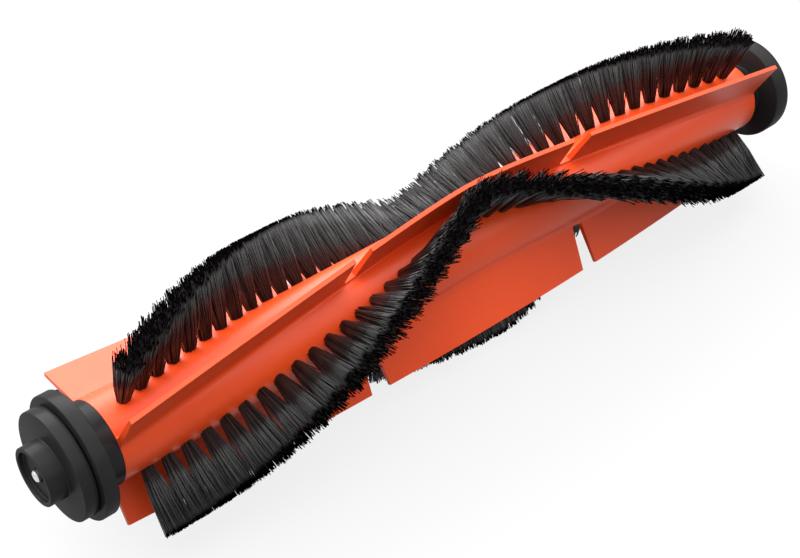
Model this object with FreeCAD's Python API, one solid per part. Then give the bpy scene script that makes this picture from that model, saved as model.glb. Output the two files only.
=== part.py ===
"""Robot vacuum roller brush: tufted V rows and V wiper blades on a core, with a bearing cap and a drive end.

Millimetres. The roller's axis is +X, from the bearing hub's front face at the origin to the drive end.
Angles run about +X from +Y towards +Z.
"""
import FreeCAD
import Part
import math
import os

from FreeCAD import Vector

# Bearing cap, the still end
HUB_RADIUS = 5.35
HUB_LENGTH = 3.4
HUB_RECESS_RADIUS = 4.5
HUB_RECESS_DEPTH = 1.0
HUB_WEB = 0.8
CAP_DISC_RADIUS = 10.0
CAP_DISC_THICKNESS = 2.6
CAP_EDGE = 0.35

# Bearing bush and thrust washer
BUSH_RADIUS = 3.0
BUSH_INSET = 0.1
WASHER_RADIUS = 3.6
WASHER_THICKNESS = 0.3

# Steel shaft
SHAFT_RADIUS = 2.0
JOURNAL_RADIUS = 1.5
SHAFT_TIP_RADIUS = 1.05
SHAFT_TIP_PROUD = 0.7
SHAFT_EDGE = 0.2
CENTRE_DIMPLE_RADIUS = 0.5

# End flange, the hair guard that turns with the roller, and its collar against the core
FLANGE_RADIUS = 11.4
FLANGE_THICKNESS = 2.7
FLANGE_EDGE = 0.3
COLLAR_STEP = 0.2
COLLAR_LENGTH = 3.5

# Core
CORE_RADIUS = 7.6
CORE_LENGTH = 162.2
SPIGOT_RADIUS = 5.1
SPIGOT_FLATS = 8.4
NEAR_SPIGOT_LENGTH = 4.4
FAR_SPIGOT_LENGTH = 3.0

# Drive coupling, the driven end
NECK_RADIUS = 5.8
NECK_LENGTH = 3.4
DRIVE_DISC_RADIUS = 10.8
DRIVE_DISC_THICKNESS = 3.95
DRIVE_DISC_EDGE = 0.4
TENON_SIDE = 6.0
TENON_LENGTH = 6.5
TENON_EDGE = 0.6
SHAFT_END_DEPTH = 4.6

# Clearances
RUNNING_GAP = 0.3
JOURNAL_CLEARANCE = 0.05
SEAT_CLEARANCE = 0.02
BLADE_SEAT_CLEARANCE = 0.1
TIP_CLEARANCE = 0.15
HOLE_CLEARANCE = 0.05
TUFT_GAP = 0.2

# Wiper blades
STRIP_COUNT = 3
BLADE_TIP_RADIUS = 16.8
BLADE_TIP_THICKNESS = 0.8
BLADE_ROOT_THICKNESS = 1.1
BLADE_FILLET = 0.7
FILLET_STEPS = 3
BLADE_NEAR_INSET = 0.1
BLADE_FAR_INSET = 0.5
BLADE_TIP_APEX_ANGLE = 103.5
BLADE_TIP_WRAP_ANGLE = 29.0
BLADE_ROOT_APEX_ANGLE = 82.5
BLADE_ROOT_WRAP_ANGLE = 64.0
BLADE_APEX_ROUNDING = 9.0
BLADE_STATIONS = 13
STATION_CROWDING_RATIO = 1.2
SLIT_OFFSET = 27.8
SLIT_SETBACK = 1.2
SLIT_ROOT_WIDTH = 2.8
SLIT_TIP_WIDTH = 4.2
SLIT_FOOT = 0.45

# Bristle rows
BRISTLE_RADIUS = 19.5
ROW_END_INSET = 5.1
ROW_APEX_ANGLE = 110.0
ROW_WRAP_ANGLE = 110.0
ROW_APEX_ROUNDING = 3.0
TUFT_COUNT = 41
TUFT_LEAN_ANGLE = 8.0
TUFT_WIDTH = 2.1
TUFT_TIP_WIDTH = 5.4
TUFT_HOLE_DEPTH = 3.6
ANCHOR_THICKNESS = 0.3
ANCHOR_HEIGHT = 1.1
ANCHOR_WIDTH = 1.7
REST_FLAT = 0.3

# Places along the axis, from the hub's front face
cap_disc_front = HUB_LENGTH
cap_rear = cap_disc_front + CAP_DISC_THICKNESS
flange_front = cap_rear + RUNNING_GAP
flange_rear = flange_front + FLANGE_THICKNESS
core_start = flange_rear + COLLAR_LENGTH
core_end = core_start + CORE_LENGTH
disc_front = core_end + NECK_LENGTH
disc_rear = disc_front + DRIVE_DISC_THICKNESS
tenon_end = disc_rear + TENON_LENGTH
blade_start = core_start + BLADE_NEAR_INSET
blade_end = core_end - BLADE_FAR_INSET
v_centre = (blade_start + blade_end) / 2
web_front = HUB_RECESS_DEPTH
web_rear = web_front + HUB_WEB
shaft_end = disc_rear - SHAFT_END_DEPTH
row_half_length = core_end - ROW_END_INSET - v_centre
tuft_pitch = 2 * row_half_length / (TUFT_COUNT - 1)
blade_seat = CORE_RADIUS + BLADE_SEAT_CLEARANCE

AXIS = Vector(1, 0, 0)
ORIGIN = Vector(0, 0, 0)
STRIP_PITCH = 360.0 / STRIP_COUNT


def turned(outline):
    """Solid of revolution about the axis, from an outline of (x, radius) points."""
    points = [Vector(x, 0, radius) for x, radius in outline]
    face = Part.Face(Part.makePolygon(points + points[:1]))
    return face.revolve(ORIGIN, AXIS, 360)


def double_flat(start, length, radius, flats):
    """Round spigot with two flats, along the axis."""
    spigot = Part.makeCylinder(radius, length, Vector(start, 0, 0), AXIS)
    block = Part.makeBox(length, 2 * radius, flats, Vector(start, -radius, -flats / 2))
    return spigot.common(block)


def rounded_v(offset, half_length, wrap, rounding):
    """Angle turned at an axial offset from the V's apex: straight arms joined by a rounded point."""
    arm = math.hypot(half_length, rounding) - rounding
    return wrap * (math.hypot(offset, rounding) - rounding) / arm


def polar(x, radius, angle):
    turn = math.radians(angle)
    return Vector(x, radius * math.cos(turn), radius * math.sin(turn))


def stacked(rings):
    """Closed solid through a stack of rings with matching, parallel edges."""
    faces = [Part.Face(Part.makePolygon(ring + ring[:1])) for ring in (rings[0], rings[-1])]
    for low, high in zip(rings, rings[1:]):
        for i in range(len(low)):
            j = (i + 1) % len(low)
            faces.append(Part.Face(Part.makePolygon([low[i], low[j], high[j], high[i], low[i]])))
    solid = Part.Solid(Part.Shell(faces))
    if solid.Volume < 0:
        solid.reverse()
    return solid


# Bearing cap

def bearing_cap():
    outline = [
        (web_front, SHAFT_TIP_RADIUS + TIP_CLEARANCE),
        (web_front, HUB_RECESS_RADIUS),
        (0, HUB_RECESS_RADIUS),
        (0, HUB_RADIUS - CAP_EDGE),
        (CAP_EDGE, HUB_RADIUS),
        (cap_disc_front, HUB_RADIUS),
        (cap_disc_front, CAP_DISC_RADIUS - CAP_EDGE),
        (cap_disc_front + CAP_EDGE, CAP_DISC_RADIUS),
        (cap_rear, CAP_DISC_RADIUS),
        (cap_rear, BUSH_RADIUS + SEAT_CLEARANCE),
        (web_rear, BUSH_RADIUS + SEAT_CLEARANCE),
        (web_rear, SHAFT_TIP_RADIUS + TIP_CLEARANCE),
    ]
    return turned(outline)


def bearing_bush():
    bore = JOURNAL_RADIUS + JOURNAL_CLEARANCE
    rear = cap_rear - BUSH_INSET
    return turned([(web_rear, bore), (web_rear, BUSH_RADIUS), (rear, BUSH_RADIUS), (rear, bore)])


# Roller's turned pieces

def thrust_washer():
    bore = JOURNAL_RADIUS + JOURNAL_CLEARANCE
    front = flange_front - WASHER_THICKNESS
    rear = flange_front
    return turned([(front, bore), (front, WASHER_RADIUS), (rear, WASHER_RADIUS), (rear, bore)])


def steel_shaft():
    tip = web_front - SHAFT_TIP_PROUD
    outline = [
        (tip + CENTRE_DIMPLE_RADIUS, 0),
        (tip, CENTRE_DIMPLE_RADIUS),
        (tip, SHAFT_TIP_RADIUS - SHAFT_EDGE),
        (tip + SHAFT_EDGE, SHAFT_TIP_RADIUS),
        (web_rear + SHAFT_EDGE, SHAFT_TIP_RADIUS),
        (web_rear + SHAFT_EDGE, JOURNAL_RADIUS),
        (flange_front, JOURNAL_RADIUS),
        (flange_front, SHAFT_RADIUS),
        (shaft_end, SHAFT_RADIUS),
        (shaft_end, 0),
    ]
    return turned(outline)


def end_flange():
    outline = [
        (flange_front, SHAFT_RADIUS + SEAT_CLEARANCE),
        (flange_front, FLANGE_RADIUS - FLANGE_EDGE),
        (flange_front + FLANGE_EDGE, FLANGE_RADIUS),
        (flange_rear, FLANGE_RADIUS),
        (flange_rear, CORE_RADIUS + COLLAR_STEP),
        (core_start, CORE_RADIUS + COLLAR_STEP),
        (core_start, SHAFT_RADIUS + SEAT_CLEARANCE),
    ]
    socket_length = NEAR_SPIGOT_LENGTH + SEAT_CLEARANCE
    socket = double_flat(
        core_start - socket_length,
        socket_length,
        SPIGOT_RADIUS + SEAT_CLEARANCE,
        SPIGOT_FLATS + 2 * SEAT_CLEARANCE,
    )
    return turned(outline).cut(socket)


def drive_coupling():
    neck = Part.makeCylinder(NECK_RADIUS, NECK_LENGTH, Vector(core_end, 0, 0), AXIS)
    disc = turned([
        (disc_front, 0),
        (disc_front, DRIVE_DISC_RADIUS),
        (disc_rear - DRIVE_DISC_EDGE, DRIVE_DISC_RADIUS),
        (disc_rear, DRIVE_DISC_RADIUS - DRIVE_DISC_EDGE),
        (disc_rear, 0),
    ])
    tenon = Part.makeBox(
        TENON_LENGTH, TENON_SIDE, TENON_SIDE, Vector(disc_rear, -TENON_SIDE / 2, -TENON_SIDE / 2)
    )
    rounded = [edge for edge in tenon.Edges if edge.BoundBox.XMax > disc_rear + TENON_EDGE]
    tenon = tenon.makeChamfer(TENON_EDGE, rounded)
    spigot = double_flat(core_end - FAR_SPIGOT_LENGTH, FAR_SPIGOT_LENGTH, SPIGOT_RADIUS, SPIGOT_FLATS)
    body = spigot.fuse([neck, disc, tenon]).removeSplitter()
    seat_start = core_end - FAR_SPIGOT_LENGTH
    seat = Part.makeCylinder(
        SHAFT_RADIUS + SEAT_CLEARANCE,
        shaft_end + SEAT_CLEARANCE - seat_start,
        Vector(seat_start, 0, 0),
        AXIS,
    )
    return body.cut(seat)


# Bristle rows

def tuft_places():
    """Axial offsets of a row's tufts from the V's apex."""
    return [-row_half_length + tuft_pitch * i for i in range(TUFT_COUNT)]


def tuft_shift(height):
    """Sideways step of a tuft's middle at a height, by its lean from the root at the core's surface."""
    return (height - CORE_RADIUS) * math.tan(math.radians(TUFT_LEAN_ANGLE))


def tuft_ring(row, offset, height, along_width, across_width):
    """Rectangle across a leaning tuft, at a height above the axis."""
    turn = rounded_v(offset, row_half_length, ROW_WRAP_ANGLE, ROW_APEX_ROUNDING)
    out = polar(0, 1, ROW_APEX_ANGLE + row * STRIP_PITCH + turn)
    around = AXIS.cross(out)
    centre = AXIS * (v_centre + offset) + out * height + around * tuft_shift(height)
    a = along_width / 2
    b = across_width / 2
    return [centre + AXIS * p + around * q for p, q in [(a, b), (-a, b), (-a, -b), (a, -b)]]


def tuft(row, offset):
    """Straight shank in the core's hole, flaring to the bristle tips."""
    floor = CORE_RADIUS - TUFT_HOLE_DEPTH
    shank = floor + ANCHOR_HEIGHT + 2 * HOLE_CLEARANCE
    tip_along = min(TUFT_TIP_WIDTH, tuft_pitch - TUFT_GAP)
    tip_reach = tuft_shift(BRISTLE_RADIUS) + TUFT_TIP_WIDTH / 2
    tip_height = math.sqrt(BRISTLE_RADIUS ** 2 - tip_reach ** 2)
    solid = stacked([
        tuft_ring(row, offset, shank, TUFT_WIDTH, TUFT_WIDTH),
        tuft_ring(row, offset, CORE_RADIUS, TUFT_WIDTH, TUFT_WIDTH),
        tuft_ring(row, offset, tip_height, tip_along, TUFT_TIP_WIDTH),
    ])
    rest_plane = REST_FLAT - BRISTLE_RADIUS
    if solid.BoundBox.ZMin < rest_plane:
        below = Part.makeBox(
            CORE_LENGTH, 2 * BRISTLE_RADIUS, BRISTLE_RADIUS,
            Vector(core_start, -BRISTLE_RADIUS, rest_plane - BRISTLE_RADIUS),
        )
        solid = solid.cut(below).Solids[0]
    return solid


def bristle_row(row):
    return Part.makeCompound([tuft(row, offset) for offset in tuft_places()])


def tuft_hole(row, offset):
    width = TUFT_WIDTH + 2 * HOLE_CLEARANCE
    floor = CORE_RADIUS - TUFT_HOLE_DEPTH
    mouth = CORE_RADIUS + TUFT_WIDTH
    return stacked([tuft_ring(row, offset, height, width, width) for height in (floor, mouth)])


def tuft_anchor(row, offset):
    """Flat wire that lies across the floor of a tuft's hole."""
    floor = CORE_RADIUS - TUFT_HOLE_DEPTH + HOLE_CLEARANCE
    heights = (floor, floor + ANCHOR_HEIGHT)
    return stacked([tuft_ring(row, offset, height, ANCHOR_WIDTH, ANCHOR_THICKNESS) for height in heights])


def tuft_anchors(row):
    return Part.makeCompound([tuft_anchor(row, offset) for offset in tuft_places()])


# Core

def roller_core():
    body = Part.makeCylinder(CORE_RADIUS, CORE_LENGTH, Vector(core_start, 0, 0), AXIS)
    spigot = double_flat(
        core_start - NEAR_SPIGOT_LENGTH, NEAR_SPIGOT_LENGTH, SPIGOT_RADIUS, SPIGOT_FLATS
    )
    bore = Part.makeCylinder(
        SHAFT_RADIUS + SEAT_CLEARANCE,
        CORE_LENGTH + NEAR_SPIGOT_LENGTH,
        Vector(core_start - NEAR_SPIGOT_LENGTH, 0, 0),
        AXIS,
    )
    socket_length = FAR_SPIGOT_LENGTH + SEAT_CLEARANCE
    socket = double_flat(
        core_end - socket_length,
        socket_length,
        SPIGOT_RADIUS + SEAT_CLEARANCE,
        SPIGOT_FLATS + 2 * SEAT_CLEARANCE,
    )
    holes = [tuft_hole(row, offset) for row in range(STRIP_COUNT) for offset in tuft_places()]
    return body.fuse(spigot).removeSplitter().cut([bore, socket] + holes)


# Wiper blades

def blade_angles(blade, offset):
    """Angles of the blade's root and tip at an axial offset from the V's apex."""
    half = (blade_end - blade_start) / 2
    turn = blade * STRIP_PITCH
    root = rounded_v(offset, half, BLADE_ROOT_WRAP_ANGLE, BLADE_APEX_ROUNDING)
    tip = rounded_v(offset, half, BLADE_TIP_WRAP_ANGLE, BLADE_APEX_ROUNDING)
    return BLADE_ROOT_APEX_ANGLE + turn + root, BLADE_TIP_APEX_ANGLE + turn + tip


def blade_section(blade, offset):
    """Wire across the blade: tapering web on a filleted foot that follows the core's surface."""
    x = v_centre + offset
    root_angle, tip_angle = blade_angles(blade, offset)
    root = polar(x, blade_seat, root_angle)
    tip = polar(x, BLADE_TIP_RADIUS, tip_angle)
    up = (tip - root).normalize()
    side = AXIS.cross(up)
    web = BLADE_ROOT_THICKNESS / 2

    def on_core(distance):
        return polar(x, blade_seat, root_angle + math.degrees(distance / blade_seat))

    def fillet(hand):
        corner = on_core(hand * web)
        run = on_core(hand * (web + BLADE_FILLET)) - corner
        rise = root + side * (hand * web) + up * BLADE_FILLET - corner
        bends = [math.pi / 2 * i / FILLET_STEPS for i in range(FILLET_STEPS + 1)]
        return [corner + run * (1 - math.sin(bend)) + rise * (1 - math.cos(bend)) for bend in bends]

    half_tip = side * (BLADE_TIP_THICKNESS / 2)
    ring = fillet(1) + [tip + half_tip, tip - half_tip] + fillet(-1)[::-1] + [root]
    return Part.makePolygon(ring + ring[:1])


def slit(blade, offset):
    """Tapered slot with a blunt bottom, cut across a blade."""
    bottom = CORE_RADIUS + SLIT_FOOT
    top = 2 * BLADE_TIP_RADIUS - CORE_RADIUS
    spread = (SLIT_TIP_WIDTH - SLIT_ROOT_WIDTH) / (BLADE_TIP_RADIUS - bottom)
    foot = SLIT_ROOT_WIDTH / 2
    blunt = foot / 3
    outline = [
        (foot - blunt, bottom),
        (foot, bottom + blunt),
        (foot + spread * (top - bottom) / 2, top),
    ]
    x = v_centre + offset
    depth = BLADE_TIP_RADIUS
    corners = [Vector(x + half, radius, -depth / 2) for half, radius in outline]
    corners += [Vector(x - half, radius, -depth / 2) for half, radius in reversed(outline)]
    slot = Part.Face(Part.makePolygon(corners + corners[:1])).extrude(Vector(0, 0, depth))
    slot.rotate(ORIGIN, AXIS, sum(blade_angles(blade, offset)) / 2)
    return slot


def wiper_blade(blade):
    half = (blade_end - blade_start) / 2
    steps = [2 * i / (BLADE_STATIONS - 1) - 1 for i in range(BLADE_STATIONS)]
    stations = [math.copysign(half * abs(step) ** STATION_CROWDING_RATIO, step) for step in steps]
    web = Part.makeLoft([blade_section(blade, offset) for offset in stations], True, True)
    return web.cut([slit(blade, hand * SLIT_OFFSET - SLIT_SETBACK) for hand in (-1, 1)])


pieces = {
    "bearing_cap": bearing_cap(),
    "bearing_bush": bearing_bush(),
    "thrust_washer": thrust_washer(),
    "steel_shaft": steel_shaft(),
    "end_flange": end_flange(),
    "roller_core": roller_core(),
    "drive_coupling": drive_coupling(),
}
for strip in range(STRIP_COUNT):
    pieces[f"wiper_blade_{strip + 1}"] = wiper_blade(strip)
    pieces[f"bristle_row_{strip + 1}"] = bristle_row(strip)
    pieces[f"tuft_anchors_{strip + 1}"] = tuft_anchors(strip)

os.makedirs("parts", exist_ok=True)
for name, shape in pieces.items():
    shape.exportStep(f"parts/{name}.step")
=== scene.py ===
"""Robot vacuum roller brush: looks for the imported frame, with the camera at the photograph's angle."""
import bmesh
import bpy
import math
import random
from mathutils import Matrix, Vector


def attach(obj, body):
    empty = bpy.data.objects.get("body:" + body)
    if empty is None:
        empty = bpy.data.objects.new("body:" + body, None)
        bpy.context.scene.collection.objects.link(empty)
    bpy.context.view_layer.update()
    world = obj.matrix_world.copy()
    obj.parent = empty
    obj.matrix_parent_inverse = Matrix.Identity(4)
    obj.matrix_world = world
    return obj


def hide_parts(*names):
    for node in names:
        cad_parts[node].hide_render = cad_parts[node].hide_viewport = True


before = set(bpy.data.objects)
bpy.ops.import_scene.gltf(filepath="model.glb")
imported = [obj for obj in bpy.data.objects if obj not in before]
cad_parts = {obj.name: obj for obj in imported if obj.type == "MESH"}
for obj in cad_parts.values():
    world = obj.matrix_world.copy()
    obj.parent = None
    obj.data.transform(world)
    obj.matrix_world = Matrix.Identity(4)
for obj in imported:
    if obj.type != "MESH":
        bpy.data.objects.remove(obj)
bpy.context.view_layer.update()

# Sizes, radii and places along the axis are in millimetres, as the frame has them, and angles in degrees
MM = 0.001
AXIS = Vector((1, 0, 0))
FLOOR_Z = -19.2
SHARP_ANGLE = 40

# Roller core
CORE_START = 12.5
CORE_END = 174.7
CORE_RADIUS = 7.6
CORE_ROUND = 0.15
SHAFT_BORE = 2.02
SPIGOT_RADIUS = 5.1
NEAR_SPIGOT = 8.1
FAR_SPIGOT = 171.7
SEAT_CLEARANCE = 0.02

# Bearing cap
HUB_RADIUS = 5.35
HUB_LENGTH = 3.4
HUB_RECESS_RADIUS = 4.5
HUB_RECESS_DEPTH = 1.0
WEB_REAR = 1.8
WEB_BORE = 1.2
BUSH_SEAT_RADIUS = 3.02
CAP_RADIUS = 10.0
CAP_REAR = 6.0
CAP_ROUND = 0.22

# End flange
FLANGE_FRONT = 6.3
FLANGE_REAR = 9.0
FLANGE_RADIUS = 11.4
COLLAR_RADIUS = 7.8
FLANGE_ROUND = 0.28

# Drive coupling
NECK_RADIUS = 5.8
SHAFT_END = 177.47
DISC_FRONT = 178.1
DISC_REAR = 182.05
DISC_RADIUS = 10.8
DISC_CENTRE = 0.4
DISC_ROUND = 0.3
TENON_SIDE = 6.0
TENON_LENGTH = 6.5
TENON_SINK = 0.1
TENON_ROUND = 0.5

# Blades and bristle rows take turns round the core, three of each
ROWS = 3
ROW_TURN = 360 / ROWS

# Wiper blades
BLADE_START = 12.6
BLADE_END = 174.2
V_CENTRE = (BLADE_START + BLADE_END) / 2
BLADE_HALF = (BLADE_END - BLADE_START) / 2
BLADE_STATIONS = 36
BLADE_ROOT_APEX = 82.5
BLADE_ROOT_WRAP = 64.0
BLADE_TIP_APEX = 103.5
BLADE_TIP_WRAP = 29.0
BLADE_V_ROUNDING = 9.0
BLADE_TIP_RADIUS = 16.8
BLADE_SEAT = CORE_RADIUS - 0.25
BLADE_WEB = 1.1
BLADE_TIP = 0.8
BLADE_FILLET = 0.8
FILLET_STEPS = 5
BLADE_ROUND = 0.14
BLADE_ROUND_ANGLE = 50
BLADE_SHARP_ANGLE = 35
SLIT_OFFSET = 27.8
SLIT_SETBACK = 1.2
SLIT_FLOOR = CORE_RADIUS + 0.45
SLIT_FLAT = 0.9
SLIT_CORNER = 0.5
SLIT_CORNER_STEPS = 4
SLIT_MOUTH = 2.5
SLIT_REACH = 22.0
SLIT_DEPTH = 12

# Bristle rows
ROW_HALF = 76.2
ROW_APEX = 110.0
ROW_WRAP = 110.0
ROW_V_ROUNDING = 3.0
ROW_SEED = 100
BRISTLE_RADIUS = 19.5
TUFT_COUNT = 41
TUFT_SHAPES = 10
TUFT_LEAN = math.tan(math.radians(8))
TUFT_SINK = 1.2
TUFT_ROOT = 0.9
TUFT_TIP_ALONG = 2.35
TUFT_TIP_ACROSS = 2.6
TUFT_SWELL_ALONG = 0.25
TUFT_SWELL_ACROSS = 0.1

# Filaments of one tuft, set out as a sunflower sets its seeds, with the spin in radians
FILAMENTS = 180
GOLDEN_SPIN = 2.39996
SPIN_SCATTER = 0.3
TIP_SCATTER = 0.28
SWELL_SCATTER = 0.14
CUT_SCATTER = 0.2
SHORT_SHARE = 0.05
SHORT_BY = 0.7
FILAMENT_ROOT_RADIUS = 0.105
FILAMENT_TIP_RADIUS = 0.085
FILAMENT_SHARP_ANGLE = 100
FILAMENT_END_AREA = 0.1

# Camera
CAMERA_PLACE = (-68.2, -164.91, 174.02)
CAMERA_RIGHT = (0.74704, -0.66478, -0.00067)
CAMERA_UP = (0.41322, 0.46355, 0.78382)
CAMERA_LENS = 67.75
CAMERA_SENSOR = 36


# Materials

def srgb(code):
    """Linear colour from an sRGB hex value."""
    parts = [int(code[i:i + 2], 16) / 255 for i in (1, 3, 5)]
    return [p / 12.92 if p <= 0.04045 else ((p + 0.055) / 1.055) ** 2.4 for p in parts] + [1.0]


def node(tree, kind, inputs=(), **settings):
    """A node with its settings; each input is a value, or a socket to link from."""
    made = tree.nodes.new(kind)
    for name, value in settings.items():
        setattr(made, name, value)
    for name, value in dict(inputs).items():
        if isinstance(value, bpy.types.NodeSocket):
            tree.links.new(value, made.inputs[name])
        else:
            made.inputs[name].default_value = value
    return made


def blank(name):
    """A material without nodes, and its node tree."""
    material = bpy.data.materials.new(name)
    material.use_nodes = True
    material.node_tree.nodes.clear()
    return material, material.node_tree


def orange_moulding(name, pale, deep, roughness):
    """Moulded plastic or soft rubber: a satin skin with a faint cloudiness and a very fine grain."""
    material, tree = blank(name)
    place = node(tree, "ShaderNodeTexCoord").outputs["Object"]
    # clouds about 14 mm across
    clouds = node(tree, "ShaderNodeTexNoise", {"Vector": place, "Scale": 1000 / 14, "Detail": 2.0})
    tone = node(tree, "ShaderNodeValToRGB", {"Fac": clouds.outputs["Fac"]})
    tone.color_ramp.elements[0].position = 0.3
    tone.color_ramp.elements[0].color = srgb(deep)
    tone.color_ramp.elements[1].position = 0.7
    tone.color_ramp.elements[1].color = srgb(pale)
    # mould grain, drawn at 0.5 mm so that it shows
    grain = node(tree, "ShaderNodeTexNoise", {"Vector": place, "Scale": 1000 / 0.5, "Detail": 3.0})
    bump = node(tree, "ShaderNodeBump", {
        "Strength": 0.25, "Distance": 0.02 * MM, "Height": grain.outputs["Fac"],
    })
    gloss = node(tree, "ShaderNodeMapRange", {
        "Value": grain.outputs["Fac"], "To Min": roughness - 0.05, "To Max": roughness + 0.05,
    })
    skin = node(tree, "ShaderNodeBsdfPrincipled", {
        "Base Color": tone.outputs["Color"],
        "Roughness": gloss.outputs["Result"],
        "IOR": 1.43,
        "Normal": bump.outputs["Normal"],
    })
    node(tree, "ShaderNodeOutputMaterial", {"Surface": skin.outputs["BSDF"]})
    return material


def charcoal_abs():
    """Moulded ABS: dark grey with a spark-eroded mould's fine, even grain."""
    material, tree = blank("charcoal_moulded_abs")
    place = node(tree, "ShaderNodeTexCoord").outputs["Object"]
    # clouds about 6 mm across
    clouds = node(tree, "ShaderNodeTexNoise", {"Vector": place, "Scale": 1000 / 6, "Detail": 2.0})
    tone = node(tree, "ShaderNodeValToRGB", {"Fac": clouds.outputs["Fac"]})
    tone.color_ramp.elements[0].color = srgb("#202021")
    tone.color_ramp.elements[1].color = srgb("#282829")
    # spark-eroded grain, drawn at 0.45 mm so that it shows
    grain = node(tree, "ShaderNodeTexNoise", {"Vector": place, "Scale": 1000 / 0.45, "Detail": 3.0})
    bump = node(tree, "ShaderNodeBump", {
        "Strength": 0.4, "Distance": 0.03 * MM, "Height": grain.outputs["Fac"],
    })
    # the grain breaks the gloss, so that a fifth of the skin shines
    skin = node(tree, "ShaderNodeBsdfPrincipled", {
        "Base Color": tone.outputs["Color"],
        "Roughness": 0.6,
        "Specular IOR Level": 0.0,
        "Coat Weight": 0.2,
        "Coat Roughness": 0.3,
        "Coat IOR": 1.5,
        "Normal": bump.outputs["Normal"],
        "Coat Normal": bump.outputs["Normal"],
    })
    node(tree, "ShaderNodeOutputMaterial", {"Surface": skin.outputs["BSDF"]})
    return material


def black_nylon():
    """Extruded nylon: dark grey with a low sheen, each filament its own shade, and painted shade that makes
    it black and dull at the tip.
    """
    material, tree = blank("black_nylon_filament")
    place = node(tree, "ShaderNodeTexCoord").outputs["Object"]
    across = node(tree, "ShaderNodeVectorMath", {0: place, 1: (0, 1, 1)}, operation="MULTIPLY")
    radius = node(tree, "ShaderNodeVectorMath", {0: across.outputs["Vector"]}, operation="LENGTH")
    reach = node(tree, "ShaderNodeMapRange", {
        "Value": radius.outputs["Value"], "From Min": CORE_RADIUS * MM, "From Max": BRISTLE_RADIUS * MM,
    })
    # grey and gloss are even along the filament; towards the tip both fade out, painted shade for the dark
    # between the filaments' ends
    tip_shade_mask = node(tree, "ShaderNodeMapRange", {
        "Value": reach.outputs["Result"], "From Min": 0.88, "From Max": 0.95, "To Min": 1.0, "To Max": 0.0,
    }).outputs["Result"]
    strand = node(tree, "ShaderNodeAttribute", attribute_name="strand")
    # the tip's black is painted shade, not the filament's own colour
    shade = node(tree, "ShaderNodeMath", {0: tip_shade_mask, 1: strand.outputs["Fac"]}, operation="MULTIPLY")
    tone = node(tree, "ShaderNodeValToRGB", {"Fac": shade.outputs["Value"]})
    tone.color_ramp.elements[0].color = srgb("#060404")
    tone.color_ramp.elements[1].color = srgb("#383636")
    # at a level of 0.5 the gloss is the one that the IOR gives
    sheen = node(tree, "ShaderNodeMath", {0: tip_shade_mask, 1: 0.5}, operation="MULTIPLY")
    skin = node(tree, "ShaderNodeBsdfPrincipled", {
        "Base Color": tone.outputs["Color"],
        "Roughness": 0.28,
        "IOR": 1.47,
        "Specular IOR Level": sheen.outputs["Value"],
    })
    node(tree, "ShaderNodeOutputMaterial", {"Surface": skin.outputs["BSDF"]})
    return material


def turned_steel():
    """Turned bright steel: fine rings left by the lathe tool."""
    material, tree = blank("turned_bright_steel")
    place = node(tree, "ShaderNodeTexCoord").outputs["Object"]
    # tool marks, drawn 1.57 mm apart so that they show; the texture has 20 / tau rings to a unit
    rings = node(tree, "ShaderNodeTexWave", {
        "Vector": place, "Scale": 1000 / 1.57 * math.tau / 20, "Distortion": 0.6,
    }, wave_type="RINGS", rings_direction="X")
    bump = node(tree, "ShaderNodeBump", {
        "Strength": 0.2, "Distance": 0.01 * MM, "Height": rings.outputs["Fac"],
    })
    gloss = node(tree, "ShaderNodeMapRange", {
        "Value": rings.outputs["Fac"], "To Min": 0.2, "To Max": 0.32,
    })
    skin = node(tree, "ShaderNodeBsdfPrincipled", {
        "Base Color": srgb("#D2D2D4"),
        "Metallic": 1.0,
        "Roughness": gloss.outputs["Result"],
        "Normal": bump.outputs["Normal"],
    })
    node(tree, "ShaderNodeOutputMaterial", {"Surface": skin.outputs["BSDF"]})
    return material


def plain_acetal():
    """Acetal bearing stock: off-white, waxy and slightly cloudy."""
    material, tree = blank("natural_acetal")
    place = node(tree, "ShaderNodeTexCoord").outputs["Object"]
    # clouds about 3 mm across
    clouds = node(tree, "ShaderNodeTexNoise", {"Vector": place, "Scale": 1000 / 3, "Detail": 2.0})
    tone = node(tree, "ShaderNodeValToRGB", {"Fac": clouds.outputs["Fac"]})
    tone.color_ramp.elements[0].color = srgb("#D8D4CA")
    tone.color_ramp.elements[1].color = srgb("#E6E3DA")
    skin = node(tree, "ShaderNodeBsdfPrincipled", {
        "Base Color": tone.outputs["Color"], "Roughness": 0.4, "IOR": 1.48,
    })
    node(tree, "ShaderNodeOutputMaterial", {"Surface": skin.outputs["BSDF"]})
    return material


def background_rays(tree):
    """1 for rays that show the background: the camera's, and those from a shiny or clear surface."""
    rays = node(tree, "ShaderNodeLightPath").outputs
    shown = rays["Is Camera Ray"]
    for kind in ("Is Glossy Ray", "Is Transmission Ray"):
        either = node(tree, "ShaderNodeMath", {0: shown, 1: rays[kind]}, operation="MAXIMUM")
        shown = either.outputs["Value"]
    return shown


def seamless_paper():
    """White studio paper: it shows white with a soft shadow, and throws little light back on the brush."""
    material, tree = blank("white_seamless_paper")
    shown = background_rays(tree)
    tone = node(tree, "ShaderNodeMapRange", {"Value": shown, "To Min": 0.09, "To Max": 0.5})
    matt = node(tree, "ShaderNodeBsdfDiffuse", {"Color": tone.outputs["Result"]})
    glow = node(tree, "ShaderNodeEmission", {"Color": srgb("#FFFFFF"), "Strength": 1.0})
    share = node(tree, "ShaderNodeMath", {0: shown, 1: 0.82}, operation="MULTIPLY")
    surface = node(tree, "ShaderNodeMixShader", {
        0: share.outputs["Value"], 1: matt.outputs["BSDF"], 2: glow.outputs["Emission"],
    })
    node(tree, "ShaderNodeOutputMaterial", {"Surface": surface.outputs["Shader"]})
    return material


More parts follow.
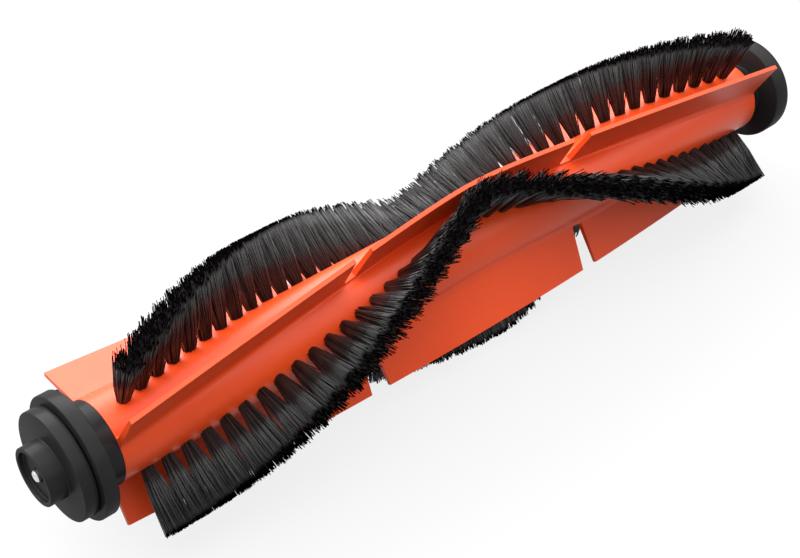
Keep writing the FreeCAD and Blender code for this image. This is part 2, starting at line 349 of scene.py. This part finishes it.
blade_rubber = orange_moulding("orange_blade_rubber", "#EF4F1C", "#EA4A18", 0.40)
core_plastic = orange_moulding("orange_core_plastic", "#F0511E", "#EB4C1A", 0.38)
cap_plastic = charcoal_abs()
bristle_nylon = black_nylon()
shaft_steel = turned_steel()
bush_acetal = plain_acetal()


# Making pieces

def mesh_of(bm, name):
    """Mesh from a bmesh that isn't needed after it."""
    mesh = bpy.data.meshes.new(name)
    bm.to_mesh(mesh)
    bm.free()
    return mesh


def added(name, data):
    """Object put into the scene at the origin."""
    item = bpy.data.objects.new(name, data)
    bpy.context.scene.collection.objects.link(item)
    return item


def placed(name, bm, material, body, nodes, sharp=SHARP_ANGLE):
    """Finishes a mesh as a piece that rides on a body and stands for CAD nodes."""
    mesh = mesh_of(bm, name)
    mesh.materials.append(material)
    mesh.shade_smooth()
    mesh.set_sharp_from_angle(angle=math.radians(sharp))
    piece = added(name, mesh)
    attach(piece, body)
    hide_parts(*nodes)
    return piece


def rounded(bm, edges, offset):
    """Rounds edges of a bmesh."""
    bmesh.ops.bevel(bm, geom=edges, offset=offset * MM, offset_type="OFFSET", affect="EDGES",
                    segments=3, profile=0.5, material=-1, clamp_overlap=True)


def edges_of(verts):
    """Edges that meet at some vertices, each once and in order."""
    return list(dict.fromkeys(edge for vert in verts for edge in vert.link_edges))


def moved_verts(geometry):
    """Vertices among the elements that an operator gives back."""
    return [item for item in geometry if isinstance(item, bmesh.types.BMVert)]


def turned(outline, edge, steps=96):
    """Bmesh turned about the axis from a closed outline of (x, radius), its sharp rims rounded by edge."""
    bm = bmesh.new()
    corners = [bm.verts.new((x * MM, 0, radius * MM)) for x, radius in outline]
    rims = [bm.edges.new(pair) for pair in zip(corners, corners[1:] + corners[:1])]
    bmesh.ops.spin(bm, geom=corners + rims, cent=(0, 0, 0), axis=AXIS, dvec=(0, 0, 0),
                   angle=math.tau, steps=steps, use_merge=True)
    bmesh.ops.remove_doubles(bm, verts=bm.verts, dist=0.001 * MM)
    bmesh.ops.recalc_face_normals(bm, faces=bm.faces)
    limit = math.radians(SHARP_ANGLE)
    rounded(bm, [e for e in bm.edges if e.is_manifold and e.calc_face_angle() > limit], edge)
    return bm


def rounded_v(offset, half_length, wrap, rounding):
    """Angle turned at an axial offset from the V's apex: straight arms joined by a rounded point."""
    arm = math.hypot(half_length, rounding) - rounding
    return wrap * (math.hypot(offset, rounding) - rounding) / arm


def polar(x, radius, angle):
    """Point at a place along the axis, a radius, and an angle from +Y towards +Z."""
    turn = math.radians(angle)
    return Vector((x, radius * math.cos(turn), radius * math.sin(turn))) * MM


# End pieces and core

cap = turned([
    (HUB_RECESS_DEPTH, WEB_BORE), (HUB_RECESS_DEPTH, HUB_RECESS_RADIUS),
    (0, HUB_RECESS_RADIUS), (0, HUB_RADIUS), (HUB_LENGTH, HUB_RADIUS), (HUB_LENGTH, CAP_RADIUS),
    (CAP_REAR, CAP_RADIUS), (CAP_REAR, BUSH_SEAT_RADIUS),
    (WEB_REAR, BUSH_SEAT_RADIUS), (WEB_REAR, WEB_BORE),
], CAP_ROUND)
placed("bearing_cap_moulding", cap, cap_plastic, "bearing", ["bearing_cap"])

flange_socket = NEAR_SPIGOT - SEAT_CLEARANCE
flange = turned([
    (FLANGE_FRONT, SHAFT_BORE), (FLANGE_FRONT, FLANGE_RADIUS),
    (FLANGE_REAR, FLANGE_RADIUS), (FLANGE_REAR, COLLAR_RADIUS),
    (CORE_START, COLLAR_RADIUS), (CORE_START, SPIGOT_RADIUS + SEAT_CLEARANCE),
    (flange_socket, SPIGOT_RADIUS + SEAT_CLEARANCE), (flange_socket, SHAFT_BORE),
], FLANGE_ROUND)
placed("end_flange_moulding", flange, cap_plastic, "roller", ["end_flange"])

# the disc is turned round a small hole, which the tenon covers
coupling = turned([
    (FAR_SPIGOT, SHAFT_BORE), (FAR_SPIGOT, SPIGOT_RADIUS),
    (CORE_END, SPIGOT_RADIUS), (CORE_END, NECK_RADIUS),
    (DISC_FRONT, NECK_RADIUS), (DISC_FRONT, DISC_RADIUS),
    (DISC_REAR, DISC_RADIUS), (DISC_REAR, DISC_CENTRE),
    (SHAFT_END, DISC_CENTRE), (SHAFT_END, SHAFT_BORE),
], DISC_ROUND)
tenon_middle = Vector((DISC_REAR + (TENON_LENGTH - TENON_SINK) / 2, 0, 0)) * MM
tenon_size = Vector((TENON_LENGTH + TENON_SINK, TENON_SIDE, TENON_SIDE)) * MM
tenon = bmesh.ops.create_cube(coupling, size=1, matrix=(
    Matrix.Translation(tenon_middle) @ Matrix.Diagonal(tenon_size).to_4x4()
))["verts"]
rounded(coupling, edges_of(tenon), TENON_ROUND)
placed("drive_coupling_moulding", coupling, cap_plastic, "roller", ["drive_coupling"])

core_socket = FAR_SPIGOT - SEAT_CLEARANCE
core = turned([
    (NEAR_SPIGOT, SHAFT_BORE), (NEAR_SPIGOT, SPIGOT_RADIUS),
    (CORE_START, SPIGOT_RADIUS), (CORE_START, CORE_RADIUS),
    (CORE_END, CORE_RADIUS), (CORE_END, SPIGOT_RADIUS + SEAT_CLEARANCE),
    (core_socket, SPIGOT_RADIUS + SEAT_CLEARANCE), (core_socket, SHAFT_BORE),
], CORE_ROUND)
placed("roller_core_moulding", core, core_plastic, "roller", ["roller_core"])


# Wiper blades

def blade_angles(blade, offset):
    """Angles of the blade's root and tip at an axial offset from the V's apex."""
    turn = blade * ROW_TURN
    root = rounded_v(offset, BLADE_HALF, BLADE_ROOT_WRAP, BLADE_V_ROUNDING)
    tip = rounded_v(offset, BLADE_HALF, BLADE_TIP_WRAP, BLADE_V_ROUNDING)
    return BLADE_ROOT_APEX + turn + root, BLADE_TIP_APEX + turn + tip


def blade_ring(bm, blade, offset):
    """Closed loop of edges across the blade: a tapering web on a filleted foot sunk in the core."""
    x = V_CENTRE + offset
    root_angle, tip_angle = blade_angles(blade, offset)
    root = polar(x, CORE_RADIUS, root_angle)
    tip = polar(x, BLADE_TIP_RADIUS, tip_angle)
    up = (tip - root).normalized()
    side = AXIS.cross(up)
    foot_turn = math.degrees((BLADE_WEB / 2 + BLADE_FILLET) / CORE_RADIUS)
    points = []
    for hand in (1, -1):
        corner = root + side * (hand * BLADE_WEB / 2 * MM)
        foot_angle = root_angle + hand * foot_turn
        run = polar(x, CORE_RADIUS, foot_angle) - corner
        rise = up * (BLADE_FILLET * MM)
        flank = [polar(x, BLADE_SEAT, foot_angle)]
        for step in range(FILLET_STEPS + 1):
            bend = math.pi / 2 * step / FILLET_STEPS
            flank.append(corner + run * (1 - math.sin(bend)) + rise * (1 - math.cos(bend)))
        edge = tip + side * (hand * BLADE_TIP / 2 * MM)
        top = flank[-1]
        flank += [top.lerp(edge, share) for share in (0.33, 0.66, 1)]
        points += flank if hand == 1 else flank[::-1]
    ring = [bm.verts.new(point) for point in points]
    return [bm.edges.new(pair) for pair in zip(ring, ring[1:] + ring[:1])]


def slit_cutter(blade, offset):
    """Wedge that cuts one slit: narrow at the foot, with small rounded corners, and wider at the tip."""
    bm = bmesh.new()
    bends = [math.pi / 2 * i / SLIT_CORNER_STEPS for i in range(SLIT_CORNER_STEPS + 1)]
    corner = [
        (SLIT_FLAT + SLIT_CORNER * math.sin(bend), SLIT_FLOOR + SLIT_CORNER * (1 - math.cos(bend)))
        for bend in bends
    ]
    mouth = [(SLIT_MOUTH, SLIT_REACH), (-SLIT_MOUTH, SLIT_REACH)]
    outline = [(-x, radius) for x, radius in reversed(corner)] + corner + mouth
    middle = V_CENTRE + offset
    face = bm.faces.new([
        bm.verts.new(Vector((middle + x, radius, -SLIT_DEPTH / 2)) * MM) for x, radius in outline
    ])
    wall = bmesh.ops.extrude_face_region(bm, geom=[face])["geom"]
    bmesh.ops.translate(bm, vec=(0, 0, SLIT_DEPTH * MM), verts=moved_verts(wall))
    bmesh.ops.recalc_face_normals(bm, faces=bm.faces)
    turn = math.radians(sum(blade_angles(blade, offset)) / 2)
    bmesh.ops.rotate(bm, cent=(0, 0, 0), matrix=Matrix.Rotation(turn, 3, "X"), verts=bm.verts)
    return added("slit", mesh_of(bm, "slit"))


def wiper_blade(blade):
    """One V blade, bridged from rings along the axis, cut by two slits and softened at its edges."""
    bm = bmesh.new()
    stations = [BLADE_HALF * (i / BLADE_STATIONS - 1) for i in range(2 * BLADE_STATIONS + 1)]
    rings = [blade_ring(bm, blade, offset) for offset in stations]
    for near, far in zip(rings, rings[1:]):
        bmesh.ops.bridge_loops(bm, edges=near + far)
    for ring in (rings[0], rings[-1]):
        bmesh.ops.contextual_create(bm, geom=ring)
    bmesh.ops.recalc_face_normals(bm, faces=bm.faces)
    whole = added("blade", mesh_of(bm, "blade"))
    cutters = [slit_cutter(blade, hand * SLIT_OFFSET - SLIT_SETBACK) for hand in (-1, 1)]
    for cutter in cutters:
        cut = whole.modifiers.new("slit", "BOOLEAN")
        cut.operation = "DIFFERENCE"
        cut.solver = "EXACT"
        cut.object = cutter
    slit = bpy.data.meshes.new_from_object(whole.evaluated_get(bpy.context.evaluated_depsgraph_get()))
    for item in [whole] + cutters:
        bpy.data.objects.remove(item)
    bm = bmesh.new()
    bm.from_mesh(slit)
    piece = placed(f"wiper_blade_{blade + 1}_rubber", bm, blade_rubber, "roller",
                   [f"wiper_blade_{blade + 1}"], sharp=BLADE_SHARP_ANGLE)
    soft = piece.modifiers.new("soft_edges", "BEVEL")
    soft.width = BLADE_ROUND * MM
    soft.segments = 2
    soft.limit_method = "ANGLE"
    soft.angle_limit = math.radians(BLADE_ROUND_ANGLE)


for blade in range(ROWS):
    wiper_blade(blade)


# Bristle rows

def tuft_shape(seed):
    """One tuft at the origin, standing along Z: filaments that leave the hole together and fan out."""
    chance = random.Random(seed)
    bm = bmesh.new()
    strand = bm.faces.layers.float.new("strand")
    for i in range(FILAMENTS):
        reach = math.sqrt((i + 0.5) / FILAMENTS)
        spin = i * GOLDEN_SPIN + chance.uniform(-SPIN_SCATTER, SPIN_SCATTER)
        along, across = reach * math.cos(spin), reach * math.sin(spin)
        hole = TUFT_ROOT * across + TUFT_SINK * TUFT_LEAN
        root = Vector((TUFT_ROOT * along, hole, CORE_RADIUS - TUFT_SINK))
        length = BRISTLE_RADIUS - abs(chance.gauss(0, CUT_SCATTER))
        if chance.random() < SHORT_SHARE:
            length -= SHORT_BY
        x = TUFT_TIP_ALONG * along + chance.gauss(0, TIP_SCATTER)
        y = TUFT_TIP_ACROSS * across + chance.gauss(0, TIP_SCATTER) - (length - CORE_RADIUS) * TUFT_LEAN
        tip = Vector((x, y, math.sqrt(length ** 2 - y ** 2)))
        line = (tip - root) * MM
        seat = Matrix.Translation((root + tip) / 2 * MM) @ line.to_track_quat("Z", "Y").to_matrix().to_4x4()
        filament = bmesh.ops.create_cone(
            bm, cap_ends=True, cap_tris=False, segments=4, radius1=FILAMENT_ROOT_RADIUS * MM,
            radius2=FILAMENT_TIP_RADIUS * MM, depth=line.length, matrix=seat)["verts"]
        sides = [edge for edge in edges_of(filament) if edge.calc_length() > line.length / 2]
        middle = bmesh.ops.subdivide_edges(bm, edges=sides, cuts=1)["geom_inner"]
        swell = Vector((
            chance.gauss(TUFT_SWELL_ALONG * along, SWELL_SCATTER),
            chance.gauss(TUFT_SWELL_ACROSS * across, SWELL_SCATTER),
            0,
        ))
        bmesh.ops.translate(bm, vec=swell * MM, verts=moved_verts(middle))
        shade = chance.uniform(0.25, 1.0)
        # faces that have no shade yet are this filament's
        for face in bm.faces:
            face[strand] = face[strand] or shade
    return mesh_of(bm, f"tuft_{seed}")


def bristle_row(row, tufts):
    """One V row: tufts picked from the shapes by chance, each turned to its own place on the core."""
    chance = random.Random(ROW_SEED + row)
    bm = bmesh.new()
    for i in range(TUFT_COUNT):
        offset = ROW_HALF * (2 * i / (TUFT_COUNT - 1) - 1)
        angle = ROW_APEX + row * ROW_TURN + rounded_v(offset, ROW_HALF, ROW_WRAP, ROW_V_ROUNDING)
        before = len(bm.verts)
        bm.from_mesh(chance.choice(tufts))
        bm.verts.ensure_lookup_table()
        stand = Matrix.Rotation(math.radians(angle - 90), 4, "X")
        shift = Matrix.Translation(AXIS * (V_CENTRE + offset) * MM)
        bmesh.ops.transform(bm, matrix=shift @ stand, verts=bm.verts[before:])
    # the lowest filaments give under the brush's own weight
    for vert in bm.verts:
        vert.co.z = max(vert.co.z, FLOOR_Z * MM)
    piece = placed(f"bristle_row_{row + 1}_filaments", bm, bristle_nylon, "roller",
                   [f"bristle_row_{row + 1}"], sharp=FILAMENT_SHARP_ANGLE)
    # the cut ends stay flat, so that the filaments' sides keep their own shading
    for face in piece.data.polygons:
        face.use_smooth = face.area > FILAMENT_END_AREA * MM ** 2


tuft_shapes = [tuft_shape(seed) for seed in range(TUFT_SHAPES)]
for row in range(ROWS):
    bristle_row(row, tuft_shapes)
for shape in tuft_shapes:
    bpy.data.meshes.remove(shape)


# Finishes on the pieces that the frame keeps

for name, material in (
    ("steel_shaft", shaft_steel), ("thrust_washer", shaft_steel), ("bearing_bush", bush_acetal),
    ("tuft_anchors_1", shaft_steel), ("tuft_anchors_2", shaft_steel), ("tuft_anchors_3", shaft_steel),
):
    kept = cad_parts[name]
    kept.data.materials.clear()
    kept.data.materials.append(material)


# Floor, 6 m square
bm = bmesh.new()
bmesh.ops.create_grid(bm, x_segments=1, y_segments=1, size=3.0,
                      matrix=Matrix.Translation(Vector((V_CENTRE, 0, FLOOR_Z)) * MM))
floor = added("studio_floor", mesh_of(bm, "studio_floor"))
floor.data.materials.append(seamless_paper())

# Light: a white surround that fills the shadows a little, and soft boxes with places and sizes in metres
world = bpy.data.worlds.new("studio")
bpy.context.scene.world = world
world.use_nodes = True
tree = world.node_tree
tree.nodes.clear()
strength = node(tree, "ShaderNodeMapRange", {
    "Value": background_rays(tree), "To Min": 0.12, "To Max": 0.83,
})
sky = node(tree, "ShaderNodeBackground", {"Color": srgb("#FFFFFF"), "Strength": strength.outputs["Result"]})
node(tree, "ShaderNodeOutputWorld", {"Surface": sky.outputs["Background"]})

for name, place, size, watts in (
    ("back_softbox", (0.10, 0.725, 0.40), (1.4, 0.95), 27.0),
    ("top_scrim", (0.10, 0.025, 0.40), (1.4, 0.45), 5.0),
    ("front_scrim", (0.10, -0.56, 0.40), (3.0, 0.72), 8.8),
):
    lamp = bpy.data.lights.new(name, "AREA")
    lamp.shape = "RECTANGLE"
    lamp.size, lamp.size_y = size
    lamp.energy = watts
    light = added(name, lamp)
    light.location = place
    light.visible_camera = False

# Camera at the photograph's angle
lens = bpy.data.cameras.new("camera")
lens.lens = CAMERA_LENS
lens.sensor_width = CAMERA_SENSOR
lens.clip_start = 10 * MM
camera = added("camera", lens)
right = Vector(CAMERA_RIGHT)
up = Vector(CAMERA_UP)
turn = Matrix((right, up, right.cross(up))).transposed().to_4x4()
camera.matrix_world = Matrix.Translation(Vector(CAMERA_PLACE) * MM) @ turn
bpy.context.scene.camera = camera

bpy.context.scene.view_settings.view_transform = "Standard"
